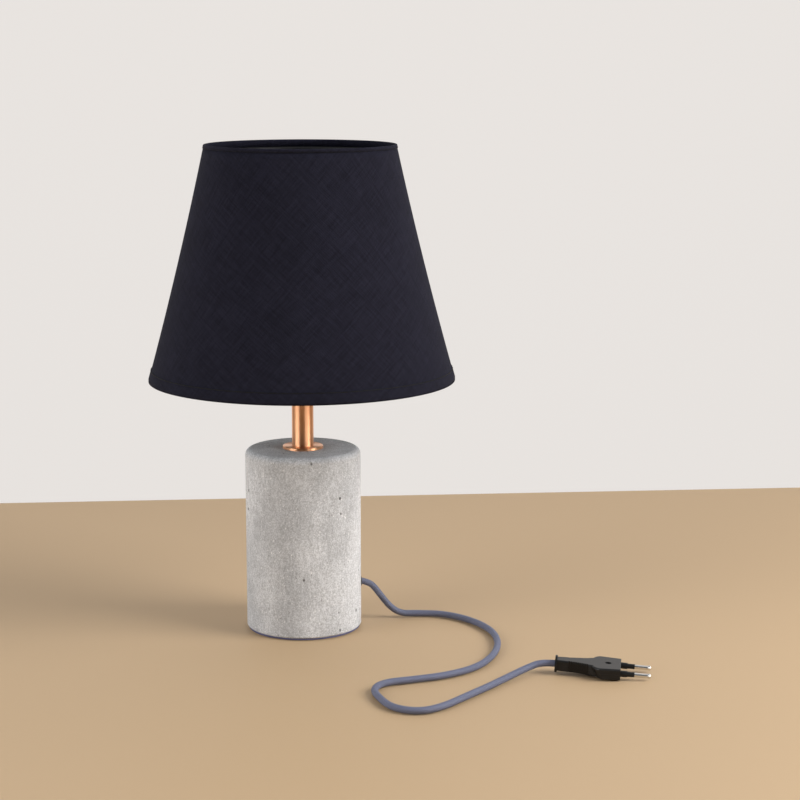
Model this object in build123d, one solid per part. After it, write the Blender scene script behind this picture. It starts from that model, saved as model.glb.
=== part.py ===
"""Table lamp: concrete drum base, copper stem, E27 lampholder and a tapered cloth shade.

Millimetres. The origin is on the table, on the lamp's axis, and +Z points up.
"""
from build123d import *
from math import atan, cos, degrees, pi, radians, sin, tan
import os

# ---- driving dimensions -------------------------------------------------------------------
FELT_RADIUS = 39.0
FELT_THICK = 1.2
BASE_RADIUS = 40.0
BASE_TOP = 127.0
BASE_EDGE = 4.5          # rounding of the drum's top edge
RECESS_RADIUS = 24.0     # hollow under the drum, closed by the felt
RECESS_TOP = 58.0

ROD_RADIUS = 4.95        # hollow M10 x 1 rod, at the crests of its thread
ROD_BORE = 3.9
ROD_BOTTOM = 46.0
FLANGE_RADIUS = 14.0
FLANGE_THICK = 1.8
STEM_RADIUS = 7.5        # 15 mm copper tube
STEM_WALL = 1.0
STEM_TOP = 163.0

CORD_RADIUS = 2.25
EXIT_AZIMUTH = 11.5      # degrees from +X towards +Y
EXIT_HEIGHT = 29.0
EXIT_RADIUS = 41.0       # outer face of the grommet

HOLDER_RADIUS = 19.5
CAP_TOP = 199.0          # where the holder's cap meets its shell
INSERT_BOTTOM = 192.0
INSERT_TOP = 203.0
SHOULDER_TOP = 201.0     # the shade's fitter ring sits on this shoulder
SHELL_TOP = 233.0
SWITCH_HEIGHT = 185.0
CLEAR = 0.3              # gap between pieces that move apart

BULB_BOTTOM = 207.0
BULB_WAIST = 232.0       # top of the metal cap
BULB_NECK = 250.0        # where collar and globe meet
BULB_TOP = 309.0
BULB_RADIUS = 17.5

SHADE_BOTTOM = 175.1
SHADE_TOP = 336.2
SHADE_BOTTOM_RADIUS = 105.9
SHADE_TOP_RADIUS = 65.5
SHADE_SAG = 1.26         # how far the wall curves in at mid height
HEM_THICK = 0.36
WALL_INSET = 0.4         # the cover lies this far inside the hems' outer face
CLOTH_THICK = 0.5
LINER_THICK = 0.6
WIRE_RADIUS = 1.5

PLUG_ORIGIN = (162.5, -119.3, 6.35)  # centre of the plug's collar, where the cord ends
PLUG_AZIMUTH = -10.0
PLUG_DIP = 3.3
PLUG_ROLL = 0.4
PLUG_LENGTH = 42.5
PLUG_THICK = 7.3
PIN_RADIUS = 1.4
PIN_TIP_RADIUS = 1.65
PIN_SHANK_RADIUS = 1.0
PIN_LENGTH = 19.5
PIN_SPACING = 17.8
PIN_TIP_SPACING = 17.4
SLEEVE_ROOT_RADIUS = 2.05
SLEEVE_ROOT_LENGTH = 4.3
SLEEVE_RADIUS = 1.65
SLEEVE_LENGTH = 9.0

BOTTOM = (Align.CENTER, Align.CENTER, Align.MIN)


# ---- helpers ------------------------------------------------------------------------------
def disc(radius, low, high):
    """Upright cylinder on the lamp's axis between two heights."""
    return Pos(0, 0, low) * Cylinder(radius, high - low, align=BOTTOM)


def washer(inner, outer, low, high):
    """Upright ring on the lamp's axis between two heights."""
    return disc(outer, low, high) - disc(inner, low - 1, high + 1)


def turned(*corners):
    """Solid of revolution about Z from a closed outline of (radius, height) corners."""
    outline = Polyline(*[(radius, 0, height) for radius, height in corners], close=True)
    return revolve(make_face(outline), axis=Axis.Z)


def turned_edges(edges):
    """Solid of revolution about Z from a closed outline of edges in the XZ plane."""
    return revolve(make_face(Curve() + edges), axis=Axis.Z)


def radial(radius, start, end, height, azimuth=0.0, side=0.0):
    """Cylinder pointing away from the lamp's axis at a height and azimuth."""
    bar = Rot(0, 90, 0) * Cylinder(radius, end - start, align=BOTTOM)
    return Rot(0, 0, azimuth) * Pos(start, side, height) * bar


def tube_along(path, radius):
    """Round bar that follows a path."""
    section = Plane(origin=path @ 0, z_dir=path % 0) * Circle(radius)
    return sweep(section, path)


def shade_radius(height):
    """Outer radius of the shade at a height: a cone whose wall curves slightly in."""
    along = (height - SHADE_BOTTOM) / (SHADE_TOP - SHADE_BOTTOM)
    straight = SHADE_BOTTOM_RADIUS + (SHADE_TOP_RADIUS - SHADE_BOTTOM_RADIUS) * along
    return straight - SHADE_SAG * 4 * along * (1 - along)


def shade_layer(outside, thick, low, high):
    """One thin layer of the shade's wall, a stated distance inside the outer face."""
    middle = (low + high) / 2

    def arc(inset):
        ends = [(shade_radius(z) - inset, 0, z) for z in (low, middle, high)]
        return ThreePointArc(*ends)

    outer = arc(outside)
    inner = arc(outside + thick)
    return turned_edges([outer, inner, Line(outer @ 0, inner @ 0), Line(outer @ 1, inner @ 1)])


parts = {}

# ---- base ---------------------------------------------------------------------------------
felt = disc(FELT_RADIUS, 0, FELT_THICK)
parts["felt_pad"] = fillet(felt.edges().sort_by(Axis.Z)[-1], 0.6)


def base_block():
    """Cast concrete drum with a hollow underneath, a bore for the rod and a hole for the cord."""
    block = disc(BASE_RADIUS, FELT_THICK, BASE_TOP)
    rims = block.edges().filter_by(GeomType.CIRCLE).sort_by(Axis.Z)
    block = fillet(rims[-1], BASE_EDGE)
    rims = block.edges().filter_by(GeomType.CIRCLE).sort_by(Axis.Z)
    block = chamfer(rims[0], 0.8)
    block -= disc(RECESS_RADIUS, FELT_THICK - 1, RECESS_TOP)
    block -= disc(ROD_RADIUS + 0.4, RECESS_TOP - 1, BASE_TOP + 1)
    block -= radial(3.1, RECESS_RADIUS - 2, BASE_RADIUS + 2, EXIT_HEIGHT, EXIT_AZIMUTH)
    block -= radial(4.1, BASE_RADIUS - 0.4, BASE_RADIUS + 2, EXIT_HEIGHT, EXIT_AZIMUTH)
    return block


parts["base_block"] = base_block()

NUT_BOTTOM = 50.0
nut = Pos(0, 0, NUT_BOTTOM) * extrude(RegularPolygon(8.1, 6), RECESS_TOP - 2 - NUT_BOTTOM)
parts["base_nut"] = nut - disc(ROD_RADIUS + 0.05, NUT_BOTTOM - 1, RECESS_TOP)
parts["base_washer"] = washer(ROD_RADIUS + 0.2, 12.0, RECESS_TOP - 2, RECESS_TOP)
ROD_TOP = STEM_TOP + 8.5
parts["threaded_rod"] = washer(ROD_BORE, ROD_RADIUS, ROD_BOTTOM, ROD_TOP)

flange = disc(FLANGE_RADIUS, BASE_TOP, BASE_TOP + FLANGE_THICK)
flange = fillet(flange.edges().sort_by(Axis.Z)[-1], 0.7)
flange += disc(STEM_RADIUS - STEM_WALL - 0.05, BASE_TOP + 1, BASE_TOP + FLANGE_THICK + 3)
parts["stem_flange"] = flange - disc(ROD_RADIUS + 0.05, BASE_TOP - 1, BASE_TOP + 10)
parts["stem_tube"] = washer(STEM_RADIUS - STEM_WALL, STEM_RADIUS, BASE_TOP + FLANGE_THICK, STEM_TOP)

grommet = radial(3.05, RECESS_RADIUS + 1, BASE_RADIUS, EXIT_HEIGHT, EXIT_AZIMUTH)
lip = radial(4.0, BASE_RADIUS - 0.4, EXIT_RADIUS, EXIT_HEIGHT, EXIT_AZIMUTH)
lip = fillet(lip.edges().filter_by(GeomType.CIRCLE).group_by(Axis.X)[-1], 0.5)
grommet += lip
grommet -= radial(CORD_RADIUS + 0.05, RECESS_RADIUS, EXIT_RADIUS + 1, EXIT_HEIGHT, EXIT_AZIMUTH)
parts["cord_grommet"] = grommet

# A two-part stop clamped on the cord bears on the wall of the hollow and takes any pull.
STOP_NEAR = 15.0
STOP_FAR = 23.0
cord_hole = radial(CORD_RADIUS, STOP_NEAR - 1, STOP_FAR + 1, EXIT_HEIGHT, EXIT_AZIMUTH)
stop_middle = (STOP_NEAR + STOP_FAR) / 2
screw_holes = [
    Rot(0, 0, EXIT_AZIMUTH) * Pos(stop_middle, side, EXIT_HEIGHT - 4) * Cylinder(0.9, 8, align=BOTTOM)
    for side in (-3.7, 3.7)
]
for name, low in (("cord_stop_lower", EXIT_HEIGHT - 4), ("cord_stop_upper", EXIT_HEIGHT + 0.1)):
    half = Box(STOP_FAR - STOP_NEAR, 10, 3.9, align=BOTTOM)
    half = Rot(0, 0, EXIT_AZIMUTH) * Pos(stop_middle, 0, low) * half
    parts[name] = half - cord_hole - screw_holes
stop_heads = [
    Rot(0, 0, EXIT_AZIMUTH) * Pos(stop_middle, side, EXIT_HEIGHT + 4) * Cylinder(1.6, 1.4, align=BOTTOM)
    for side in (-3.7, 3.7)
]
parts["cord_stop_screws"] = Part() + [hole + head for hole, head in zip(screw_holes, stop_heads)]

exit_direction = Vector(cos(radians(EXIT_AZIMUTH)), sin(radians(EXIT_AZIMUTH)), 0)
CORD_START = EXIT_RADIUS - 0.4     # where the inner cord ends and the free cord begins
inner_start = exit_direction * CORD_START + Vector(0, 0, EXIT_HEIGHT)
INNER_END = ROD_TOP + 1
inner_path = FilletPolyline(inner_start, (0, 0, EXIT_HEIGHT), (0, 0, INNER_END), radius=13.5)
parts["inner_cord"] = tube_along(inner_path, CORD_RADIUS)


# ---- lampholder ---------------------------------------------------------------------------
def holder_cap():
    """Moulded lower half of the lampholder, screwed on the rod, with holes for the switch."""
    cap = turned(
        (ROD_RADIUS + 0.05, STEM_TOP),
        (8.5, STEM_TOP),
        (8.5, STEM_TOP + 4),
        (17.5, STEM_TOP + 11),
        (HOLDER_RADIUS, STEM_TOP + 15),
        (HOLDER_RADIUS, CAP_TOP),
        (HOLDER_RADIUS - 1.8, CAP_TOP),
        (HOLDER_RADIUS - 1.8, STEM_TOP + 15.8),
        (16.3, STEM_TOP + 13),
        (9.0, ROD_TOP),
        (ROD_RADIUS + 0.05, ROD_TOP),
    )
    cap -= radial(4.5, 14, 22, SWITCH_HEIGHT)
    cap -= radial(1.5, 4, 10, STEM_TOP + 2.2, 90)
    return cap


parts["holder_cap"] = holder_cap()
parts["cap_grub_screw"] = radial(1.5, ROD_RADIUS + 0.05, 8.2, STEM_TOP + 2.2, 90)

TERMINAL_SIDES = (-11.0, 11.0)
insert = disc(HOLDER_RADIUS - 2.3, INSERT_BOTTOM, INSERT_TOP)
insert -= disc(1.5, INSERT_BOTTOM - 1, INSERT_TOP + 1)
for side in TERMINAL_SIDES:
    insert -= Pos(0, side, INSERT_BOTTOM - 1) * Cylinder(1.5, 8, align=BOTTOM)
parts["holder_insert"] = insert

terminals = []
for side in TERMINAL_SIDES:
    head = Pos(0, side, INSERT_BOTTOM - 2) * Cylinder(2.8, 2, align=BOTTOM)
    head -= Pos(0, side, INSERT_BOTTOM - 2) * Box(6, 0.8, 1, align=BOTTOM)
    shank = Pos(0, side, INSERT_BOTTOM - 1) * Cylinder(1.5, 8, align=BOTTOM)
    terminals.append(head + shank)
parts["terminal_screws"] = Part() + terminals

for name, side in (("lead_live", 1), ("lead_neutral", -1)):
    lead_path = FilletPolyline(
        (0, side * 1.15, INNER_END),
        (0, side * 1.15, INNER_END + 4),
        (0, side * 11, INSERT_BOTTOM - 8),
        (0, side * 11, INSERT_BOTTOM - 2),
        radius=3,
    )
    parts[name] = tube_along(lead_path, 1.1)


def holder_shell():
    """Upper half of the lampholder: a shoulder for the shade and an outside thread."""
    crest = HOLDER_RADIUS
    root = HOLDER_RADIUS - 0.8
    pitch = 2.5
    outline = [(HOLDER_RADIUS - 2.0, CAP_TOP), (25.0, CAP_TOP), (25.0, SHOULDER_TOP), (crest, SHOULDER_TOP)]
    height = SHOULDER_TOP + 3
    while height < SHELL_TOP - 3:
        outline += [(crest, height), (root, height + 0.6), (root, height + 1.1), (crest, height + 1.7)]
        height += pitch
    outline += [(crest, SHELL_TOP - 0.6), (crest - 0.6, SHELL_TOP), (HOLDER_RADIUS - 2.0, SHELL_TOP)]
    return turned(*outline)


parts["holder_shell"] = holder_shell()


def rounded_thread(middle, depth, wall, low, turns, pitch):
    """Thin sleeve whose wall waves in and out, as a rolled lamp thread does."""
    waves = []
    for radius in (middle, middle - wall):
        for step in range(2 * turns):
            start = low + step * pitch / 2
            bulge = depth / 2 if step % 2 == 0 else -depth / 2
            waves.append(
                ThreePointArc(
                    (radius, 0, start),
                    (radius + bulge, 0, start + pitch / 4),
                    (radius, 0, start + pitch / 2),
                )
            )
    high = low + turns * pitch
    ends = [Line((middle, 0, z), (middle - wall, 0, z)) for z in (low, high)]
    return turned_edges(waves + ends)


E27_PITCH = 3.63
SLEEVE_LOW = INSERT_TOP + 0.5
sleeve = rounded_thread(14.45, 0.9, 0.4, SLEEVE_LOW, 6, E27_PITCH)
sleeve += washer(9.0, 14.45, INSERT_TOP, SLEEVE_LOW)
parts["screw_sleeve"] = sleeve
tongue = Pos(0, 0, INSERT_TOP) * Box(11, 4.5, 0.5, align=BOTTOM)
rise = Pos(-4, 0, INSERT_TOP + 0.3) * Rot(0, -18, 0) * Pos(4.5, 0, 0) * Box(9, 4.5, 0.4, align=BOTTOM)
parts["centre_contact"] = tongue + rise + disc(1.5, INSERT_BOTTOM, INSERT_TOP + 0.5)
parts["side_contact"] = Pos(15.4, 0, INSERT_TOP) * Box(0.5, 5, 9, align=BOTTOM)

# ---- rotary switch in the holder's cap ----------------------------------------------------
SHAFT_RADIUS = 2.5
bush = radial(4.5, 15.5, 23.5, SWITCH_HEIGHT)
parts["switch_bush"] = bush - radial(SHAFT_RADIUS + 0.06, 15, 24, SWITCH_HEIGHT)
parts["switch_shaft"] = radial(SHAFT_RADIUS, 5.5, 32.0, SWITCH_HEIGHT)
cam = Pos(9.0, 0, SWITCH_HEIGHT) * Box(5, 8, 8)
parts["switch_cam"] = cam - radial(SHAFT_RADIUS, 5, 33, SWITCH_HEIGHT)
leaves = [Pos(9.0, side, INSERT_BOTTOM - 12) * Box(4, 0.5, 12, align=BOTTOM) for side in (-6.6, 6.6)]
parts["switch_leaves"] = Part() + leaves

KNOB_START = 24.0
KNOB_END = 37.0
KNOB_RADIUS = 6.5
FLUTES = 16


def switch_knob():
    """Fluted knob on the end of the switch shaft."""
    knob = radial(KNOB_RADIUS, KNOB_START, KNOB_END, SWITCH_HEIGHT)
    outer_rim = knob.edges().filter_by(GeomType.CIRCLE).group_by(Axis.X)[-1]
    knob = fillet(outer_rim, 1.2)
    flute = Rot(0, 90, 0) * Cylinder(0.7, KNOB_END - KNOB_START, align=BOTTOM)
    for count in range(FLUTES):
        angle = radians(count * 360 / FLUTES)
        side = (KNOB_RADIUS + 0.2) * cos(angle)
        height = SWITCH_HEIGHT + (KNOB_RADIUS + 0.2) * sin(angle)
        knob -= Pos(KNOB_START + 2, side, height) * flute
    return knob - radial(SHAFT_RADIUS, KNOB_START - 1, 32.0, SWITCH_HEIGHT)


parts["switch_knob"] = switch_knob()

# ---- ring that clamps the shade -----------------------------------------------------------
FITTER_LOW = SHOULDER_TOP + CLEAR
FITTER_HIGH = FITTER_LOW + 1.6
RING_LOW = FITTER_HIGH + CLEAR
RING_HIGH = RING_LOW + 8
RING_RADIUS = 24.0
RING_NOTCHES = 24


def shade_ring():
    """Ring nut that screws down the holder's thread and clamps the shade's fitter."""
    bore = HOLDER_RADIUS + CLEAR
    ring = turned(
        (bore, RING_LOW),
        (27.0, RING_LOW),
        (27.0, RING_LOW + 1.6),
        (RING_RADIUS, RING_LOW + 2.4),
        (RING_RADIUS, RING_HIGH - 0.8),
        (RING_RADIUS - 0.8, RING_HIGH),
        (bore, RING_HIGH),
    )
    for count in range(RING_NOTCHES):
        notch = Pos(RING_RADIUS + 0.5, 0, RING_LOW + 2.6) * Cylinder(1.2, 8, align=BOTTOM)
        ring -= Rot(0, 0, count * 360 / RING_NOTCHES) * notch
    return ring


parts["shade_ring"] = shade_ring()

# ---- bulb ---------------------------------------------------------------------------------
parts["bulb_tip"] = disc(4.8, BULB_BOTTOM, BULB_BOTTOM + 1.2)
parts["bulb_insulator"] = turned(
    (0, BULB_BOTTOM + 1.2), (5.2, BULB_BOTTOM + 1.2), (11.5, BULB_BOTTOM + 4), (0, BULB_BOTTOM + 4)
)
THREAD_TURNS = 5
THREAD_TOP = BULB_BOTTOM + 4 + THREAD_TURNS * E27_PITCH
cap = rounded_thread(12.65, 1.1, 0.4, BULB_BOTTOM + 4, THREAD_TURNS, E27_PITCH)
cap += turned((12.25, THREAD_TOP), (12.65, THREAD_TOP), (13.2, BULB_WAIST), (12.8, BULB_WAIST))
parts["bulb_cap"] = cap
parts["bulb_collar"] = turned(
    (11.2, BULB_WAIST),
    (13.2, BULB_WAIST),
    (16.0, BULB_WAIST + 11),
    (16.9, BULB_NECK),
    (15.5, BULB_NECK),
    (14.6, BULB_WAIST + 11),
)
parts["bulb_driver"] = Pos(0, 0, BULB_BOTTOM + 6) * Box(1.4, 16, 34, align=BOTTOM)
parts["bulb_light_plate"] = disc(14.3, BULB_NECK - 2.5, BULB_NECK - 1.2)
chips = []
for count in range(6):
    chip = Pos(8, 0, BULB_NECK - 1.2) * Box(2.8, 2.8, 0.8, align=BOTTOM)
    chips.append(Rot(0, 0, count * 60) * chip)
parts["bulb_chips"] = Part() + chips


def candle(inset):
    """Half outline of a candle-shaped globe, shrunk by an inset, with a small flat at its peak."""
    side = Spline(
        (16.9 - inset, 0, BULB_NECK),
        (BULB_RADIUS - inset, 0, BULB_NECK + 10),
        (13.4 - inset, 0, BULB_NECK + 34),
        (3.4 - inset / 2, 0, BULB_TOP - 2.6 - inset),
        (0.8, 0, BULB_TOP - inset),
    )
    return [side, Line(side @ 1, (0, 0, BULB_TOP - inset))]


GLOBE_WALL = 1.1
globe_foot = Line((16.9, 0, BULB_NECK), (16.9 - GLOBE_WALL, 0, BULB_NECK))
globe_peak = Line((0, 0, BULB_TOP), (0, 0, BULB_TOP - GLOBE_WALL))
parts["bulb_globe"] = turned_edges(candle(0) + candle(GLOBE_WALL) + [globe_foot, globe_peak])

# ---- shade --------------------------------------------------------------------------------
WALL_LOW = SHADE_BOTTOM + WALL_INSET
WALL_HIGH = SHADE_TOP - WALL_INSET
parts["shade_cover"] = shade_layer(WALL_INSET, CLOTH_THICK, WALL_LOW, WALL_HIGH)
parts["shade_liner"] = shade_layer(WALL_INSET + CLOTH_THICK, LINER_THICK, WALL_LOW, WALL_HIGH)

WALL_THICK = WALL_INSET + CLOTH_THICK + LINER_THICK
LOWER_WIRE_HEIGHT = WALL_LOW + WIRE_RADIUS + 0.05
LOWER_WIRE = shade_radius(LOWER_WIRE_HEIGHT) - WALL_THICK - WIRE_RADIUS - 0.1
INNER_LOW = SHADE_TOP - 5.0        # lower edge of the upper hem's turned-in flange
UPPER_WIRE_HEIGHT = INNER_LOW - WIRE_RADIUS - 0.05
UPPER_WIRE = shade_radius(INNER_LOW) - WALL_THICK - WIRE_RADIUS - 0.05
lower_wire = Pos(0, 0, LOWER_WIRE_HEIGHT) * Torus(LOWER_WIRE, WIRE_RADIUS)
parts["lower_wire"] = lower_wire
parts["upper_wire"] = Pos(0, 0, UPPER_WIRE_HEIGHT) * Torus(UPPER_WIRE, WIRE_RADIUS)

fitter = washer(21.0, 26.5, FITTER_LOW, FITTER_HIGH)
parts["fitter_ring"] = fitter
ARM_RADIUS = 1.6
ARM_START = (25.2, 0, FITTER_LOW - 0.2)
ARM_END = (LOWER_WIRE, 0, LOWER_WIRE_HEIGHT + 0.4)


def spider_arms(radius):
    """Three straight wires from the fitter ring down to the lower wire."""
    arm = tube_along(Line(ARM_START, ARM_END), radius)
    return [Rot(0, 0, turn) * arm for turn in (90, 210, 330)]


stop_cone = washer(25.2, 200, SHADE_BOTTOM - 5, FITTER_LOW + 4)
parts["spider_arms"] = Part() + [(arm & stop_cone) - fitter - lower_wire for arm in spider_arms(ARM_RADIUS)]

HEM_HEIGHT = 8.0
HEM_INSIDE = LOWER_WIRE - WIRE_RADIUS - 0.1
hem_top = SHADE_BOTTOM + HEM_HEIGHT
lower_hem = turned(
    (HEM_INSIDE - HEM_THICK, SHADE_BOTTOM),
    (shade_radius(SHADE_BOTTOM), SHADE_BOTTOM),
    (shade_radius(hem_top), hem_top),
    (shade_radius(hem_top) - HEM_THICK, hem_top),
    (shade_radius(SHADE_BOTTOM + HEM_THICK) - HEM_THICK, SHADE_BOTTOM + HEM_THICK),
    (HEM_INSIDE, SHADE_BOTTOM + HEM_THICK),
    (HEM_INSIDE, SHADE_BOTTOM + 5.4),
    (HEM_INSIDE - HEM_THICK, SHADE_BOTTOM + 5.4),
)
parts["lower_hem"] = lower_hem - spider_arms(ARM_RADIUS + 0.2)

hem_low = SHADE_TOP - 2.4
rim_low = SHADE_TOP - HEM_THICK
flange_inset = WALL_THICK + 0.05
parts["upper_hem"] = turned(
    (shade_radius(SHADE_TOP) - flange_inset - HEM_THICK, SHADE_TOP),
    (shade_radius(SHADE_TOP), SHADE_TOP),
    (shade_radius(hem_low), hem_low),
    (shade_radius(hem_low) - HEM_THICK, hem_low),
    (shade_radius(rim_low) - HEM_THICK, rim_low),
    (shade_radius(rim_low) - flange_inset, rim_low),
    (shade_radius(INNER_LOW) - flange_inset, INNER_LOW),
    (shade_radius(INNER_LOW) - flange_inset - HEM_THICK, INNER_LOW),
)
SEAM_WIDTH = 9.0
seam_band = shade_layer(0.05, WALL_INSET - 0.05, hem_top + 0.1, hem_low - 0.1)
seam_window = Pos(0, 60, SHADE_BOTTOM) * Box(SEAM_WIDTH, 120, 200, align=BOTTOM)
parts["side_seam"] = seam_band & seam_window

# ---- plug ---------------------------------------------------------------------------------
azimuth = radians(PLUG_AZIMUTH)
dip = radians(PLUG_DIP)
roll = radians(PLUG_ROLL)
plug_axis = Vector(cos(azimuth) * cos(dip), sin(azimuth) * cos(dip), -sin(dip))
level_side = Vector(-sin(azimuth), cos(azimuth), 0)
level_up = plug_axis.cross(level_side)
plug_up = level_up * cos(roll) + level_side * sin(roll)
plug_place = Plane(origin=PLUG_ORIGIN, x_dir=plug_axis, z_dir=plug_up).location

COLLAR_RADIUS = 5.6
COLLAR_THICK = 1.4
GRIP_START = 9.3
GRIP_PITCH = 1.46
GRIP_RIBS = 9
HEAD_START = 23.3        # where the shoulder starts at the top; it slants back towards the bottom
SHOULDER_SLANT = 4.4
SCREW_ALONG = 34.3


def along_plug(radius, start, end, side=0.0, up=0.0):
    """Cylinder along the plug's own length."""
    return Pos(start, side, up) * Rot(0, 90, 0) * Cylinder(radius, end - start, align=BOTTOM)


def grip_width(along):
    """Half of the plug's width in the grip, which widens from neck to head."""
    return 4.5 + 4.1 * ((along - COLLAR_THICK) / (HEAD_START - COLLAR_THICK)) ** 1.6


def head_width(along):
    """Half of the plug's width in the head, which narrows towards its face."""
    return 14.3 - 1.7 * (along - 28.0) / (PLUG_LENGTH - 28.0)


def plug_outline(slant, height):
    """One side of the plug's outline at a height, with its shoulder moved along by a slant."""
    start = HEAD_START + slant
    crest = start + 4.7
    stations = [COLLAR_THICK + (start - COLLAR_THICK) * step / 4 for step in range(5)]
    grip = Spline(*[(along, grip_width(along)) for along in stations])
    middle_width = (grip_width(start) + head_width(crest)) / 2
    shoulder = ThreePointArc(
        (start, grip_width(start)),
        (start + 1.9, middle_width + 0.9),
        (crest, head_width(crest)),
    )
    side = Line((crest, head_width(crest)), (PLUG_LENGTH, head_width(PLUG_LENGTH)))
    face = Line((PLUG_LENGTH, head_width(PLUG_LENGTH)), (PLUG_LENGTH, 0))
    middle = Line((PLUG_LENGTH, 0), (COLLAR_THICK, 0))
    root = Line((COLLAR_THICK, 0), (COLLAR_THICK, grip_width(COLLAR_THICK)))
    return Pos(0, 0, height) * make_face(Curve() + [grip, shoulder, side, face, middle, root])


def plug_body():
    """Whole outer body before it is split: neck, ribbed grip and flat head."""
    half_thick = PLUG_THICK / 2
    body = loft([plug_outline(SHOULDER_SLANT, -half_thick), plug_outline(0, half_thick)], ruled=True)
    body += mirror(body, about=Plane.XZ)
    rims = body.edges().filter_by(lambda edge: abs(abs(edge.center().Z) - half_thick) < 0.01)
    rims = rims.filter_by(lambda edge: COLLAR_THICK + 0.1 < edge.center().X < PLUG_LENGTH - 0.1)
    body = fillet(rims, 1.1)
    for rib in range(GRIP_RIBS):
        along = GRIP_START + rib * GRIP_PITCH
        for sign in (-1, 1):
            body -= Pos(along, sign * (grip_width(along) + 0.1), 0) * Box(0.9, 3.2, PLUG_THICK + 2)
    body += along_plug(COLLAR_RADIUS, 0, COLLAR_THICK)
    body -= Pos(18, 0, 0) * Box(26, 5.0, 4.8)
    body -= Pos(34.5, 0, 0) * Box(9, 20.0, 4.8)
    body -= along_plug(CORD_RADIUS + 0.05, -1, 6)
    return body


pins = []
sleeves = []
lean = degrees(atan((PIN_SPACING - PIN_TIP_SPACING) / 2 / PIN_LENGTH))
for sign in (-1, 1):
    stand = Pos(PLUG_LENGTH, sign * PIN_SPACING / 2, 0) * Rot(0, 0, -sign * lean)
    tip = along_plug(PIN_TIP_RADIUS, PIN_LENGTH - 2.2, PIN_LENGTH)
    tip = fillet(tip.edges().filter_by(GeomType.CIRCLE), 1.0)
    rod = tip + along_plug(PIN_RADIUS, SLEEVE_LENGTH, PIN_LENGTH - 1)
    rod += along_plug(PIN_SHANK_RADIUS, -10, SLEEVE_LENGTH)
    pins.append(stand * rod)
    sleeve = along_plug(SLEEVE_ROOT_RADIUS, -3, SLEEVE_ROOT_LENGTH)
    sleeve += along_plug(SLEEVE_RADIUS, SLEEVE_ROOT_LENGTH, SLEEVE_LENGTH)
    sleeves.append(stand * (sleeve - along_plug(PIN_SHANK_RADIUS, -4, PIN_LENGTH)))

body = plug_body()
body -= [stand_pin + stand_sleeve for stand_pin, stand_sleeve in zip(pins, sleeves)]
HOLE_FLOOR = 1.2
screw_hole = Pos(SCREW_ALONG, 0, HOLE_FLOOR) * Cylinder(2.1, 10, align=BOTTOM)
body -= screw_hole
pillar = Pos(SCREW_ALONG, 0, 0) * Cylinder(3.2, PLUG_THICK - 1, align=(Align.CENTER,) * 3)
pillar -= screw_hole
body += pillar
body -= Pos(SCREW_ALONG, 0, -3) * Cylinder(1.2, 10, align=BOTTOM)
upper_half = Pos(0, 0, 0.02) * Box(200, 60, 20, align=BOTTOM)
lower_half = Pos(0, 0, -20.02) * Box(200, 60, 20, align=BOTTOM)
screw = Pos(SCREW_ALONG, 0, HOLE_FLOOR) * Cylinder(1.8, 1.2, align=BOTTOM)
screw -= Pos(SCREW_ALONG, 0, HOLE_FLOOR + 0.7) * Box(5, 0.6, 1, align=BOTTOM)
screw += Pos(SCREW_ALONG, 0, -3) * Cylinder(1.2, HOLE_FLOOR + 3, align=BOTTOM)
cores = []
for sign in (-1, 1):
    core = FilletPolyline(
        (6, sign * 1.1, 0), (15, sign * 1.2, 0), (28.5, sign * 6, 0), (32, sign * 8.9, 0), radius=4
    )
    cores.append(tube_along(core, 1.0) - [stand_pin for stand_pin in pins])

body -= cores
parts["plug_body_upper"] = plug_place * (body & upper_half)
parts["plug_body_lower"] = plug_place * (body & lower_half)
parts["plug_screw"] = plug_place * screw
parts["plug_pins"] = plug_place * (Part() + pins)
parts["pin_sleeves"] = plug_place * (Part() + sleeves)
parts["plug_cores"] = plug_place * (Part() + cores)

# ---- mains cord ---------------------------------------------------------------------------
# The route runs out of the grommet, down to the table, round in one loose bend and a hook,
# and up into the plug's collar.
LYING = 2.3              # height of the cord's middle where it lies on the table


def out_of_exit(distance, height):
    """Point straight out from the cord's exit, at a distance from the lamp's axis."""
    reach = exit_direction * distance
    return (reach.X, reach.Y, height)


cord_route = [
    out_of_exit(CORD_START, EXIT_HEIGHT),
    out_of_exit(45.8, 27.5),
    out_of_exit(50.2, 24.4),
    out_of_exit(55.8, 16.5),
    out_of_exit(62.6, 7.8),
    out_of_exit(70.2, 2.8),
    (79.0, 15.5, LYING),
    (99.5, 13.2, LYING),
    (118.0, -4.0, LYING),
    (130.0, -29.0, LYING),
    (132.0, -58.5, LYING),
    (125.5, -88.0, LYING),
    (112.0, -113.0, LYING),
    (91.0, -128.5, LYING),
    (68.0, -136.0, LYING),
    (50.0, -141.0, LYING),
    (42.5, -154.0, LYING),
    (46.5, -173.0, LYING),
    (53.5, -190.5, LYING),
    (69.0, -198.6, LYING),
    (84.0, -190.5, LYING),
    (101.0, -170.0, LYING),
    (117.0, -151.2, LYING),
    (133.5, -131.2, LYING + 0.6),
    (145.6, -120.6, LYING + 2.4),
    (153.8, -117.8, LYING + 4.4),
    PLUG_ORIGIN,
]


def corner_radii(route):
    """Radius of each corner's arc: 0.45 of its shorter run, over the tangent of half the turn."""
    corners = [Vector(*point) for point in route]
    radii = []
    for before, here, after in zip(corners, corners[1:], corners[2:]):
        turn = radians((here - before).get_angle(after - here))
        shorter = min((here - before).length, (after - here).length)
        radii.append(0.45 * shorter / tan(turn / 2))
    return radii


radii = corner_radii(cord_route)
cord_path = FilletPolyline(*cord_route, radius=radii)
parts["mains_cord"] = tube_along(cord_path, CORD_RADIUS)

print("cord corner radii:", [round(radius, 1) for radius in radii])
expected = pi * CORD_RADIUS**2 * cord_path.length
print("cord length", round(cord_path.length, 1), "volume", parts["mains_cord"].volume / expected)

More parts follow.
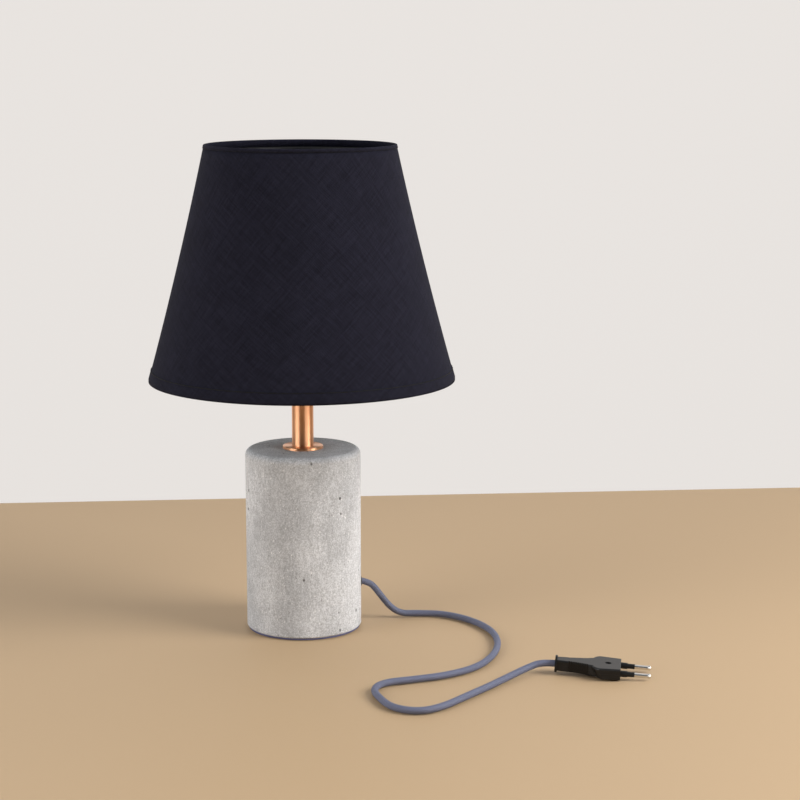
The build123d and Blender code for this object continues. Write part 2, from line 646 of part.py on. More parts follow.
# ---- export -------------------------------------------------------------------------------
os.makedirs("parts", exist_ok=True)
for name, shape in parts.items():
    export_step(shape, f"parts/{name}.step")
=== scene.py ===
from math import atan2, cos, hypot, pi, radians, sin

import bpy
import numpy as np
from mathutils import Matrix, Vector


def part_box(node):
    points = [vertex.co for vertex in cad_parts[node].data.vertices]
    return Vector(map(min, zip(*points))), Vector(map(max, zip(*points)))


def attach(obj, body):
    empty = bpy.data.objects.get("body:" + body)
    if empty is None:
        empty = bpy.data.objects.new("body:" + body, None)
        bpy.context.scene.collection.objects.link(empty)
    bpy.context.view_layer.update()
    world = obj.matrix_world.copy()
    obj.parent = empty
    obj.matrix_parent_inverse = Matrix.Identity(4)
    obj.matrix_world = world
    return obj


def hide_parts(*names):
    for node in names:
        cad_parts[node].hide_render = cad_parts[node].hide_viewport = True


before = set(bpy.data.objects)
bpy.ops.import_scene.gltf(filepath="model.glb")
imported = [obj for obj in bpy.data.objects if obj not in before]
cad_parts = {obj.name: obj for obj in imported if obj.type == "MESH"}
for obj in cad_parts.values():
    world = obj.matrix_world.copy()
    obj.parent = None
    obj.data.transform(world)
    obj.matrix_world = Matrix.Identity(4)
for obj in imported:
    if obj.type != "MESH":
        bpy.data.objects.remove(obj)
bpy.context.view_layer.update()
bpy.ops.object.select_all(action="DESELECT")

# ---- camera -------------------------------------------------------------------------------
# A long lens a little above the shade's middle, turned slightly to the right so that the
# lamp stands left of centre with its cord and plug beside it.
EYE = (0.0, -1.3684, 0.4052)
TURN_RIGHT = 2.8225
LOOK_DOWN = 10.155
camera = bpy.data.objects.new("camera", bpy.data.cameras.new("camera"))
bpy.context.scene.collection.objects.link(camera)
camera.location = EYE
camera.rotation_euler = (radians(90 - LOOK_DOWN), 0, radians(-TURN_RIGHT))
camera.data.sensor_width = 36
camera.data.lens = 90.41
camera.data.clip_start = 0.05
camera.data.clip_end = 20
bpy.context.scene.camera = camera

# ---- mains cord ---------------------------------------------------------------------------
# Round two-core flex, 4.5 mm thick, under a braided textile sleeve. Twelve yarns each way cross
# over and under each other; it drops from the drum, lies in a loose bend and a hook, and rises
# into the plug.
CORD_RADIUS = 0.00225
LYING = 0.0023
EXIT_AZIMUTH = radians(11.5)
CORD_EXIT = (0.0406, 0.029)      # distance from the axis and height


def out_of_exit(distance, height):
    """Point straight out from the cord's exit, at a distance from the lamp's axis."""
    return (distance * cos(EXIT_AZIMUTH), distance * sin(EXIT_AZIMUTH), height)


cord_route = [
    out_of_exit(*CORD_EXIT),
    out_of_exit(0.0458, 0.0275),
    out_of_exit(0.0502, 0.0244),
    out_of_exit(0.0558, 0.0165),
    out_of_exit(0.0626, 0.0078),
    out_of_exit(0.0702, 0.0028),
    (0.0790, 0.0155, LYING),
    (0.0995, 0.0132, LYING),
    (0.1180, -0.0040, LYING),
    (0.1300, -0.0290, LYING),
    (0.1320, -0.0585, LYING),
    (0.1255, -0.0880, LYING),
    (0.1120, -0.1130, LYING),
    (0.0910, -0.1285, LYING),
    (0.0680, -0.1360, LYING),
    (0.0500, -0.1410, LYING),
    (0.0425, -0.1540, LYING),
    (0.0465, -0.1730, LYING),
    (0.0535, -0.1905, LYING),
    (0.0690, -0.1986, LYING),
    (0.0840, -0.1905, LYING),
    (0.1010, -0.1700, LYING),
    (0.1170, -0.1512, LYING),
    (0.1335, -0.1312, LYING + 0.0006),
    (0.1456, -0.1206, LYING + 0.0024),
    (0.1538, -0.1178, LYING + 0.0044),
    (0.1625, -0.1193, 0.00635),
]


def smooth_line(route):
    """Points of the smooth line that a cord takes through its route."""
    curve = bpy.data.curves.new("route", "CURVE")
    curve.dimensions = "3D"
    curve.resolution_u = 24
    spline = curve.splines.new("NURBS")
    spline.points.add(len(route) - 1)
    for point, place in zip(spline.points, route):
        point.co = (*place, 1)
    spline.order_u = 3
    spline.use_endpoint_u = True
    holder = bpy.data.objects.new("route", curve)
    line = bpy.data.meshes.new_from_object(holder)
    points = np.array([vertex.co for vertex in line.vertices])
    bpy.data.objects.remove(holder)
    bpy.data.meshes.remove(line)
    bpy.data.curves.remove(curve)
    return points


def evenly(points, step):
    """The same line with its points a step apart, and how far along each one is."""
    gaps = np.linalg.norm(np.diff(points, axis=0), axis=1)
    along = np.concatenate([[0], np.cumsum(gaps)])
    count = int(along[-1] / step) + 1
    wanted = np.linspace(0, along[-1], count)
    spaced = np.column_stack([np.interp(wanted, along, points[:, axis]) for axis in range(3)])
    return spaced, wanted


def side_directions(points):
    """Two directions across a line at each point, carried along it without twisting."""
    tangents = np.gradient(points, axis=0)
    tangents /= np.linalg.norm(tangents, axis=1)[:, None]
    first = np.cross(tangents[0], (0, 0, 1))
    firsts = [first / np.linalg.norm(first)]
    for tangent in tangents[1:]:
        carried = firsts[-1] - tangent * np.dot(firsts[-1], tangent)
        firsts.append(carried / np.linalg.norm(carried))
    firsts = np.array(firsts)
    return firsts, np.cross(tangents, firsts)


YARNS = 12               # in each of the two directions
BRAID_PITCH = 2 * pi * CORD_RADIUS / YARNS * 1.25
YARN_RELIEF = 0.00016
YARN_ROUNDNESS = 3.6     # how steeply a yarn's section falls off at its sides
UNDER = 0.45             # height of a yarn where it passes under another
CORD_SIDES = 48
CORD_STEP = 0.00036


def braid_height(along, angle):
    """How far the braid stands out, 0 to 1, where its two sets of yarns cross."""
    turn = angle * YARNS / (2 * pi)
    right = turn + along / BRAID_PITCH
    left = turn - along / BRAID_PITCH
    right_yarn = np.round(right)
    left_yarn = np.round(left)
    right_round = np.sqrt(np.clip(1 - YARN_ROUNDNESS * (right - right_yarn) ** 2, 0, 1))
    left_round = np.sqrt(np.clip(1 - YARN_ROUNDNESS * (left - left_yarn) ** 2, 0, 1))
    right_over = 0.5 + 0.5 * np.cos(pi * (left + right_yarn))
    left_over = 0.5 - 0.5 * np.cos(pi * (right + left_yarn))
    right_height = (UNDER + (1 - UNDER) * right_over) * right_round
    left_height = (UNDER + (1 - UNDER) * left_over) * left_round
    return np.maximum(right_height, left_height)


def braided_cord(name, route):
    """Closed tube along a route with the braid's yarns in relief and a UV map that follows them."""
    line = smooth_line(route)
    points, along = evenly(line, CORD_STEP)
    first, second = side_directions(points)
    angles = np.arange(CORD_SIDES) * 2 * pi / CORD_SIDES
    height = braid_height(along[:, None], angles[None, :])
    radius = CORD_RADIUS - YARN_RELIEF * (1 - height)
    sideways = first[:, None] * np.cos(angles)[None, :, None]
    upwards = second[:, None] * np.sin(angles)[None, :, None]
    verts = (points[:, None] + (sideways + upwards) * radius[..., None]).reshape(-1, 3)
    rows = len(points)
    faces = []
    for row in range(rows - 1):
        for side in range(CORD_SIDES):
            here = row * CORD_SIDES + side
            beside = row * CORD_SIDES + (side + 1) % CORD_SIDES
            faces.append((here, beside, beside + CORD_SIDES, here + CORD_SIDES))
    faces.append(tuple(range(CORD_SIDES))[::-1])
    faces.append(tuple((rows - 1) * CORD_SIDES + side for side in range(CORD_SIDES)))
    mesh = bpy.data.meshes.new(name)
    mesh.from_pydata(verts.tolist(), [], faces)
    piece = bpy.data.objects.new(name, mesh)
    bpy.context.scene.collection.objects.link(piece)
    uv = mesh.uv_layers.new(name="sleeve").data
    for face in mesh.polygons[:-2]:
        for corner in face.loop_indices:
            row, side = divmod(mesh.loops[corner].vertex_index, CORD_SIDES)
            wraps = side == 0 and face.index % CORD_SIDES == CORD_SIDES - 1
            turn = (side / CORD_SIDES + wraps) * YARNS
            uv[corner].uv = (along[row] / BRAID_PITCH, turn)
    for face in mesh.polygons:
        face.use_smooth = True
    return piece, points


mains_cord, cord_line = braided_cord("mains_cord_braid", cord_route)
plug_nodes = ["plug_body_upper", "plug_body_lower", "plug_screw"]
plug_nodes += ["plug_pins", "pin_sleeves", "plug_cores"]
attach(mains_cord, "root")
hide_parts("mains_cord")


class Signal:
    """One output of a shader node. Sums and products of signals add the Math nodes they need."""

    def __init__(self, tree, socket=None):
        self.tree = tree
        self.socket = socket

    def node(self, kind, settings, inputs, output=0):
        """Adds one node, sets it up, then feeds its sockets with values or other signals."""
        made = self.tree.nodes.new("ShaderNode" + kind)
        for name, value in settings.items():
            setattr(made, name, value)
        for socket, value in inputs.items():
            if isinstance(value, Signal):
                self.tree.links.new(value.socket, made.inputs[socket])
            else:
                made.inputs[socket].default_value = value
        return Signal(self.tree, made.outputs[output])

    def maths(self, operation, *values):
        return self.node("Math", {"operation": operation}, dict(enumerate(values)))

    def __add__(self, other):
        return self.maths("ADD", self, other)

    def __radd__(self, other):
        return self.maths("ADD", other, self)

    def __sub__(self, other):
        return self.maths("SUBTRACT", self, other)

    def __rsub__(self, other):
        return self.maths("SUBTRACT", other, self)

    def __mul__(self, other):
        return self.maths("MULTIPLY", self, other)

    def __rmul__(self, other):
        return self.maths("MULTIPLY", other, self)

    def clear_of(self, low, high):
        """0 below the low value, 1 above the high one, smooth between."""
        return self.node("MapRange", {"interpolation_type": "SMOOTHSTEP"}, {0: self, 1: low, 2: high})

    def noise(self, place, scale, detail=2.0, roughness=0.5):
        """Noise from 0 to 1 at a place."""
        inputs = {"Vector": place, "Scale": scale, "Detail": detail, "Roughness": roughness}
        return self.node("TexNoise", {}, inputs)

    def blend(self, low, high):
        """Colour between two colours, as far as this signal says."""
        first, second = (end if isinstance(end, Signal) else (*end, 1) for end in (low, high))
        return self.node("Mix", {"data_type": "RGBA"}, {0: self, 6: first, 7: second}, 2)

    def stretched(self, place, stretch, turn=0.0):
        """A place for a pattern that is stretched along each axis, then turned about Z."""
        inputs = {"Vector": place, "Scale": stretch, "Rotation": (0, 0, radians(turn))}
        return self.node("Mapping", {"vector_type": "TEXTURE"}, inputs)

    def times(self, colour, share):
        """A colour times a share below or above one."""
        inputs = {0: colour, 1: (share, share, share)}
        return self.node("VectorMath", {"operation": "MULTIPLY"}, inputs)

    def bump(self, height, distance, strength=1.0):
        """Surface direction for a height in 0 to 1 and its depth in metres."""
        inputs = {"Height": height, "Distance": distance, "Strength": strength}
        return self.node("Bump", {}, inputs, "Normal")


def new_finish(name, **fixed):
    """A material with one Principled shader. Its constant values are set on the shader itself."""
    material = bpy.data.materials.new(name)
    material.use_nodes = True
    tree = material.node_tree
    shader = tree.nodes["Principled BSDF"]
    for socket, value in fixed.items():
        shader.inputs[socket.replace("_", " ").title().replace("Ior", "IOR")].default_value = value
    return material, Signal(tree), shader


def feed(start, shader, **signals):
    """Links signals to the shader's sockets."""
    for socket, signal in signals.items():
        start.tree.links.new(signal.socket, shader.inputs[socket.replace("_", " ").title()])


def dress(material, *names):
    """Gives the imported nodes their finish."""
    for name in names:
        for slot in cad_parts[name].material_slots:
            slot.material = material


def braid_finish():
    """Blue-grey polyester yarn: fine filaments along each yarn, with painted shade where the yarns dip.
    """
    material, start, shader = new_finish("braided_yarn", roughness=0.62, specular_ior_level=0.3)
    sleeve = start.node("UVMap", {"uv_map": "sleeve"}, {})
    place = start.node("TexCoord", {}, {}, "Object")
    along = start.node("SeparateXYZ", {}, {0: sleeve}, "X")
    around = start.node("SeparateXYZ", {}, {0: sleeve}, "Y")
    ridges = []
    for crossing in (around + along, around - along):
        swing = start.maths("COSINE", crossing * pi)
        ridges.append(start.maths("ABSOLUTE", swing))
    high = start.maths("MAXIMUM", *ridges).clear_of(0.45, 0.98)
    fibre = start.noise(start.stretched(sleeve, (0.12, 0.12, 1.0)), 1.0, 3.0)
    patch = start.noise(place, 60.0, 2.0)
    # Painted shade: the dips between the crossing yarns get this dark, faintly clouded colour, the
    # crests the yarn's colour.
    dark = patch.blend((0.022, 0.026, 0.050), (0.040, 0.045, 0.080))
    light = fibre.clear_of(0.3, 0.7).blend((0.110, 0.124, 0.196), (0.225, 0.242, 0.340))
    feed(start, shader, base_color=high.blend(dark, light), normal=start.bump(fibre, 0.00006, 0.7))
    return material


braid = braid_finish()
mains_cord.data.materials.append(braid)
dress(braid, "inner_cord")

# ---- concrete drum ------------------------------------------------------------------------
# Fine grey concrete cast in a smooth mould, with a small rounding at its top edge, clouded
# colour, pale grains of sand and a few air holes, dented by bump and painted dark as shade.


def concrete_finish():
    material, start, shader = new_finish("cast_concrete", specular_ior_level=0.25)
    place = start.node("TexCoord", {}, {}, "Object")
    clouds = start.noise(start.stretched(place, (1.0, 1.0, 1.8)), 24.0, 5.0, 0.62)
    streaks = start.noise(start.stretched(place, (1.0, 1.0, 2.4)), 560.0, 2.0)
    grain = start.noise(start.stretched(place, (1.0, 1.0, 1.1)), 1100.0, 2.0, 0.7)
    grit = start.noise(place, 2200.0, 2.0, 0.6)
    cloudy = clouds.clear_of(0.34, 0.66).blend((0.515, 0.526, 0.545), (0.720, 0.733, 0.755))
    speckle = (grain * 0.75 + streaks * 0.25).clear_of(0.36, 0.64)
    body = speckle.blend(start.times(cloudy, 0.70), start.times(cloudy, 1.12))
    sand = start.noise(start.stretched(place, (1.0, 1.0, 1.8)), 1000.0, 1.0).clear_of(0.66, 0.74)
    body = (sand * 0.7).blend(body, (0.93, 0.93, 0.925))
    flecks = start.noise(start.stretched(place, (1.0, 1.0, 1.8)), 800.0, 1.0).clear_of(0.70, 0.76)
    body = (flecks * 0.6).blend(body, (0.20, 0.20, 0.20))
    bubbles = {"Vector": start.stretched(place, (1.0, 1.0, 1.3)), "Scale": 140.0}
    cells = start.node("TexVoronoi", {}, bubbles)
    chosen = start.noise(place, 41.0, 1.0).clear_of(0.55, 0.59)
    # Air holes: a dent in the bump, plus painted shade as a near-black colour inside each hole.
    air_hole_and_shade = (1 - cells.clear_of(0.095, 0.150)) * chosen
    body = (air_hole_and_shade * 0.85).blend(body, (0.060, 0.058, 0.055))
    relief = grain * 0.3 + grit * 0.2 + (1 - air_hole_and_shade) * 1.2
    surface = start.bump(relief, 0.0005, 0.8)
    feed(start, shader, base_color=body, normal=surface, roughness=0.78 + grain * 0.18)
    return material


dress(concrete_finish(), "base_block")

# ---- felt pad -----------------------------------------------------------------------------
# Disc of pressed wool felt, 1.2 mm thick, glued under the drum to close its hollow.


def felt_finish():
    material, start, shader = new_finish("pressed_felt", roughness=0.95, specular_ior_level=0.15)
    place = start.node("TexCoord", {}, {}, "Object")
    fibres = start.noise(start.stretched(place, (1.0, 4.0, 1.0), 30), 1500.0, 4.0, 0.7)
    tufts = start.noise(place, 240.0, 2.0)
    colour = (fibres * 0.7 + tufts * 0.3).blend((0.075, 0.080, 0.155), (0.200, 0.205, 0.330))
    feed(start, shader, base_color=colour, normal=start.bump(fibres, 0.0004))
    return material


dress(felt_finish(), "felt_pad")

# ---- copper stem and flange ---------------------------------------------------------------
# A length of 15 mm copper tube standing on a thin pressed flange, both polished along their
# length to a satin shine and lacquered.


def copper_finish():
    material, start, shader = new_finish(
        "satin_copper", metallic=1.0, anisotropic=0.9, anisotropic_rotation=0.25
    )
    place = start.node("TexCoord", {}, {}, "Object")
    lines = start.noise(start.stretched(place, (1.0, 1.0, 60.0)), 2600.0, 3.0)
    haze = start.noise(start.stretched(place, (1.0, 1.0, 5.0)), 140.0, 3.0)
    colour = haze.clear_of(0.3, 0.7).blend((0.820, 0.420, 0.225), (0.900, 0.490, 0.280))
    rough = 0.34 + haze * 0.06 + lines * 0.05
    feed(start, shader, base_color=colour, roughness=rough, normal=start.bump(lines, 0.00002, 0.4))
    return material


dress(copper_finish(), "stem_tube", "stem_flange")

# ---- steel, brass and nickel fittings -----------------------------------------------------
# Zinc-plated rod, nut, washer and screws; stamped brass contacts; nickel-plated bush, bulb
# cap and plug pins.


def metal_finish(name, dark, light, rough):
    """Plated or bare metal with faint blotches and fine scratches."""
    material, start, shader = new_finish(name, metallic=1.0)
    place = start.node("TexCoord", {}, {}, "Object")
    blotches = start.noise(place, 160.0, 3.0)
    scratches = start.noise(start.stretched(place, (16.0, 1.0, 1.0), 20), 3000.0, 2.0)
    colour = (blotches * 0.7 + scratches * 0.3).clear_of(0.3, 0.7).blend(dark, light)
    feed(start, shader, base_color=colour, roughness=rough + blotches * 0.12 + scratches * 0.05)
    return material


zinc = metal_finish("zinc_plate", (0.42, 0.44, 0.48), (0.62, 0.63, 0.64), 0.26)
dress(
    zinc,
    "base_nut",
    "base_washer",
    "threaded_rod",
    "cord_stop_screws",
    "cap_grub_screw",
    "switch_shaft",
    "plug_screw",
)
brass = metal_finish("stamped_brass", (0.62, 0.45, 0.19), (0.80, 0.63, 0.32), 0.22)
dress(brass, "terminal_screws", "screw_sleeve", "centre_contact", "side_contact", "switch_leaves")
nickel = metal_finish("nickel_plate", (0.66, 0.65, 0.62), (0.82, 0.81, 0.78), 0.12)
dress(nickel, "switch_bush", "bulb_cap", "bulb_tip", "plug_pins")

# ---- black moulded pieces -----------------------------------------------------------------
# Lampholder, clamp ring, knob, cord stop and plug are moulded in black plastic with the fine
# spark-eroded grain of the mould; the grommet is soft rubber.


def moulded_finish(name, colour, rough, grain_depth):
    """Moulded plastic or rubber with a fine grain and a slightly uneven gloss."""
    material, start, shader = new_finish(name, specular_ior_level=0.35)
    place = start.node("TexCoord", {}, {}, "Object")
    grain = start.noise(place, 2400.0, 2.0, 0.6)
    cloud = start.noise(place, 70.0, 2.0)
    lighter = tuple(channel * 1.8 + 0.001 for channel in colour)
    tint = (grain * 0.5 + cloud * 0.5).clear_of(0.35, 0.65).blend(colour, lighter)
    surface = start.bump(grain, grain_depth, 0.6)
    feed(start, shader, base_color=tint, roughness=rough + cloud * 0.12, normal=surface)
    return material


black_plastic = moulded_finish("black_moulding", (0.012, 0.012, 0.013), 0.42, 0.00006)
dress(
    black_plastic,
    "holder_cap",
    "holder_shell",
    "shade_ring",
    "switch_knob",
    "cord_stop_lower",
    "cord_stop_upper",
    "bulb_insulator",
)
plug_plastic = moulded_finish("plug_moulding", (0.0030, 0.0030, 0.0032), 0.30, 0.00004)
dress(plug_plastic, "plug_body_upper", "plug_body_lower", "pin_sleeves")
rubber = moulded_finish("soft_rubber", (0.016, 0.016, 0.018), 0.65, 0.00004)
dress(rubber, "cord_grommet")
dress(moulded_finish("brown_core", (0.16, 0.07, 0.03), 0.35, 0.00002), "lead_live", "plug_cores")
dress(moulded_finish("blue_core", (0.04, 0.12, 0.38), 0.35, 0.00002), "lead_neutral")
dress(moulded_finish("white_ceramic", (0.66, 0.65, 0.61), 0.40, 0.00004), "holder_insert", "switch_cam")

# ---- bulb ---------------------------------------------------------------------------------
# Candle-shaped lamp: an opal globe on a white heat sink collar, with its driver board in the
# screw cap and its chips on an aluminium plate.


def opal_finish():
    material, start, shader = new_finish("opal_globe", subsurface_weight=0.35, specular_ior_level=0.5)
    place = start.node("TexCoord", {}, {}, "Object")
    veil = start.noise(place, 120.0, 2.0)
    tint = veil.blend((0.82, 0.81, 0.78), (0.90, 0.89, 0.87))
    feed(start, shader, base_color=tint, roughness=0.22 + veil * 0.1)
    return material


dress(opal_finish(), "bulb_globe")
dress(moulded_finish("white_plastic", (0.58, 0.58, 0.57), 0.30, 0.00002), "bulb_collar", "bulb_chips")
dress(moulded_finish("circuit_board", (0.02, 0.14, 0.06), 0.35, 0.00005), "bulb_driver")
dress(metal_finish("light_plate", (0.62, 0.63, 0.64), (0.78, 0.79, 0.80), 0.3), "bulb_light_plate")

# ---- shade --------------------------------------------------------------------------------
# Dark slub linen laminated on a thin styrene liner and rolled into a cone, glued with an
# overlap at the back, on a wire at each end. The cloth is cut so that its threads run
# slantwise; the lower edge is folded over its wire in a hem 8 mm tall.
cover_low, cover_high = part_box("shade_cover")
hem_low, hem_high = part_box("lower_hem")
rim_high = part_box("upper_hem")[1]
SHADE_FOOT = hem_low[2]
SHADE_HEAD = rim_high[2]
FOOT_RADIUS = hem_high[0]
HEAD_RADIUS = 0.0655
SHADE_SAG = 0.00126
AROUND = 256


def shade_radius(height):
    """Outer radius of the shade at a height: a cone whose wall curves slightly in."""
    along = (height - SHADE_FOOT) / (SHADE_HEAD - SHADE_FOOT)
    straight = FOOT_RADIUS + (HEAD_RADIUS - FOOT_RADIUS) * along
    return straight - SHADE_SAG * 4 * along * (1 - along)


def turned(name, outline, closed):
    """Ring or sheet about the lamp's axis: a circle extruded from point to point of an outline."""
    bpy.ops.object.select_all(action="DESELECT")
    radius, height = outline[0]
    bpy.ops.mesh.primitive_circle_add(vertices=AROUND, radius=radius, location=(0, 0, height))
    piece = bpy.context.object
    piece.name = name
    piece.data.name = name
    bpy.ops.object.mode_set(mode="EDIT")
    bpy.ops.mesh.select_all(action="SELECT")
    for next_radius, next_height in outline[1:] + outline[:1] * closed:
        rise = {"value": (0, 0, next_height - height)}
        bpy.ops.mesh.extrude_edges_move(TRANSFORM_OT_translate=rise)
        scale = next_radius / radius
        bpy.ops.transform.resize(value=(scale, scale, 1), center_override=(0, 0, next_height))
        radius, height = next_radius, next_height
    bpy.ops.mesh.select_all(action="SELECT")
    bpy.ops.mesh.remove_doubles(threshold=1e-6)
    bpy.ops.mesh.normals_make_consistent(inside=False)
    bpy.ops.object.mode_set(mode="OBJECT")
    bpy.ops.object.transform_apply(location=True, rotation=False, scale=False)
    bpy.ops.object.shade_smooth()
    return piece


def unroll(piece):
    """UV map in metres on the cloth's flat pattern, measured from the middle of the front."""
    slope = (FOOT_RADIUS - HEAD_RADIUS) / hypot(FOOT_RADIUS - HEAD_RADIUS, SHADE_HEAD - SHADE_FOOT)
    mesh = piece.data
    uv = mesh.uv_layers.new(name="flat_cloth").data
    for face in mesh.polygons:
        middle = atan2(face.center.x, -face.center.y)
        for corner in face.loop_indices:
            place = mesh.vertices[mesh.loops[corner].vertex_index].co
            angle = atan2(place.x, -place.y)
            angle += 2 * pi * round((middle - angle) / (2 * pi))
            reach = shade_radius(place.z) / slope
            uv[corner].uv = (reach * sin(angle * slope), reach * cos(angle * slope))


HEM_THICK = 0.00036
CLOTH_INSET = 0.0004
CLOTH_THICK = 0.0005
COVER_RINGS = 24
cover_rise = cover_high[2] - cover_low[2]
cover_heights = [cover_low[2] + cover_rise * ring / COVER_RINGS for ring in range(COVER_RINGS + 1)]
cover_outline = [(shade_radius(height) - CLOTH_INSET, height) for height in cover_heights]
cover = turned("shade_cloth", cover_outline, closed=False)
unroll(cover)
solidify = cover.modifiers.new("thickness", "SOLIDIFY")
solidify.thickness = CLOTH_THICK
solidify.offset = -1
bpy.ops.object.modifier_apply(modifier="thickness")

# The overlap at the back is a second layer of the same cloth on the cover, cut to a strip.
SEAM_HALF = 0.0045
SEAM_THICK = 0.0003
bpy.ops.object.select_all(action="DESELECT")
seam_outline = [(radius + SEAM_THICK, height) for radius, height in cover_outline[1:-1]]
seam = turned("shade_seam", seam_outline, closed=False)
bpy.ops.object.mode_set(mode="EDIT")
for side in (-1, 1):
    bpy.ops.mesh.select_all(action="SELECT")
    cut = {"plane_co": (side * SEAM_HALF, 0, 0), "plane_no": (side, 0, 0)}
    bpy.ops.mesh.bisect(**cut, clear_outer=True)
bpy.ops.mesh.select_all(action="SELECT")
bpy.ops.mesh.bisect(plane_co=(0, 0, 0), plane_no=(0, -1, 0), clear_outer=True)
bpy.ops.object.mode_set(mode="OBJECT")
unroll(seam)
solidify = seam.modifiers.new("thickness", "SOLIDIFY")
solidify.thickness = SEAM_THICK
solidify.offset = -1
bpy.ops.object.modifier_apply(modifier="thickness")


def rolled_edge(middle_radius, middle_height, roll, start, end, steps=8):
    """Points of a round fold of cloth over a wire, from one angle to another."""
    angles = [radians(start + (end - start) * step / steps) for step in range(steps + 1)]
    return [(middle_radius + roll * cos(angle), middle_height + roll * sin(angle)) for angle in angles]


HEM_TOP = hem_high[2]
HEM_INSIDE_TOP = SHADE_FOOT + 0.0054
FOLD = 0.0019                   # radius of the cloth round the lower wire
HEM_WIDTH = 0.0053              # from the outer wall to the hem's inner one
fold_height = SHADE_FOOT + FOLD
inner_radius = shade_radius(SHADE_FOOT) - HEM_WIDTH
outer_fold = rolled_edge(shade_radius(fold_height) - FOLD, fold_height, FOLD, 0, -90)
inner_fold = rolled_edge(inner_radius + FOLD, fold_height, FOLD, -90, -180)
inside_outer = rolled_edge(shade_radius(fold_height) - FOLD, fold_height, FOLD - HEM_THICK, -90, 0)
inside_inner = rolled_edge(inner_radius + FOLD, fold_height, FOLD - HEM_THICK, -180, -90)
EDGE_DROP = 0.0003              # the hem's cut edge is rounded over this height
EDGE_TUCK = 0.00006             # and drawn in by this much at its top
below_edge = HEM_TOP - EDGE_DROP
hem_outline = [(shade_radius(HEM_TOP) - EDGE_TUCK, HEM_TOP), (shade_radius(below_edge), below_edge)]
hem_outline += outer_fold + inner_fold
hem_outline += [(inner_radius, HEM_INSIDE_TOP), (inner_radius + HEM_THICK, HEM_INSIDE_TOP)]
hem_outline += inside_inner + inside_outer
hem_outline += [(shade_radius(HEM_TOP) - HEM_THICK, HEM_TOP)]
lower_hem = turned("shade_lower_hem", hem_outline, closed=True)
unroll(lower_hem)

RIM_BOTTOM = SHADE_HEAD - 0.0024
RIM_INSIDE_BOTTOM = SHADE_HEAD - 0.005
RIM_FOLD = 0.00096
rim_height = SHADE_HEAD - RIM_FOLD
rim_middle = shade_radius(rim_height) - RIM_FOLD
rim_inside = shade_radius(RIM_INSIDE_BOTTOM) - 2 * RIM_FOLD
rim_radius = shade_radius(RIM_BOTTOM)
rim_outline = [(rim_radius - HEM_THICK, RIM_BOTTOM), (rim_radius, RIM_BOTTOM)]
rim_outline += rolled_edge(rim_middle, rim_height, RIM_FOLD, 0, 180)
rim_outline += [(rim_inside, RIM_INSIDE_BOTTOM), (rim_inside + HEM_THICK, RIM_INSIDE_BOTTOM)]
rim_outline += rolled_edge(rim_middle, rim_height, RIM_FOLD - HEM_THICK, 180, 0)
upper_hem = turned("shade_upper_hem", rim_outline, closed=True)
unroll(upper_hem)


def stitched_line(name, height, thread, sink):
    """Line of stitches round the shade: a thin ring drawn in between each stitch and the next."""
    bpy.ops.object.select_all(action="DESELECT")
    sides = 8
    bpy.ops.mesh.primitive_torus_add(
        major_radius=shade_radius(height) - sink,
        minor_radius=thread,
        major_segments=512,
        minor_segments=sides,
        location=(0, 0, height),
    )
    piece = bpy.context.object
    piece.name = name
    piece.data.name = name
    bpy.ops.object.mode_set(mode="EDIT")
    bpy.ops.mesh.select_all(action="DESELECT")
    bpy.ops.object.mode_set(mode="OBJECT")
    for vertex in piece.data.vertices:
        vertex.select = vertex.index // sides % 3 == 0
    bpy.ops.object.mode_set(mode="EDIT")
    bpy.ops.transform.shrink_fatten(value=-thread * 0.5)
    bpy.ops.object.mode_set(mode="OBJECT")
    bpy.ops.object.transform_apply(location=True, rotation=False, scale=False)
    bpy.ops.object.shade_smooth()
    return piece


# Near-black stitches along the top of the lower hem and the foot of the rim: real stitching whose
# darkness is partly painted shade, the shadow line at each hem's edge.
lower_stitches = stitched_line("shade_lower_stitches", HEM_TOP, 0.00040, 0.00014)
upper_stitches = stitched_line("shade_upper_stitches", RIM_BOTTOM, 0.00014, 0.00010)


def linen_finish():
    """Matt navy-black linen whose uneven threads show as fine crossing streaks."""
    material, start, shader = new_finish("slub_linen", roughness=0.9, specular_ior_level=0.12)
    cloth = start.node("UVMap", {"uv_map": "flat_cloth"}, {})
    threads = []
    rows = []
    for turn in (43, -47):
        slubs = start.noise(start.stretched(cloth, (1.0, 22.0, 1.0), turn), 1500.0, 3.0, 0.65)
        bands = start.noise(start.stretched(cloth, (1.0, 14.0, 1.0), turn), 480.0, 2.0)
        threads.append(slubs * 0.68 + bands * 0.32)
        turned_cloth = start.stretched(cloth, (1.0, 1.0, 1.0), turn)
        waves = {"Vector": turned_cloth, "Scale": 430.0, "Distortion": 0.4}
        row = start.node("TexWave", {"wave_type": "BANDS", "bands_direction": "X"}, waves)
        rows.append(row * (0.6 + slubs * 0.4))
    dull = start.noise(cloth, 26.0, 2.0)
    streaks = threads[0] * 0.5 + threads[1] * 0.5
    weave = start.maths("MAXIMUM", *rows)
    tone = (streaks * 0.9 + dull * 0.1).clear_of(0.38, 0.64)
    colour = tone.blend((0.0042, 0.0041, 0.0098), (0.0138, 0.0138, 0.0268))
    colour = (weave * 0.2).blend(colour, (0.0280, 0.0282, 0.0440))
    feed(start, shader, base_color=colour, normal=start.bump(weave + streaks * 0.6, 0.00014, 0.9))
    return material


linen = linen_finish()
cloth_pieces = {"shade_cover": cover, "side_seam": seam, "lower_hem": lower_hem, "upper_hem": upper_hem}
for node, piece in cloth_pieces.items():
    piece.data.materials.append(linen)
    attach(piece, "shade")
    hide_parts(node)


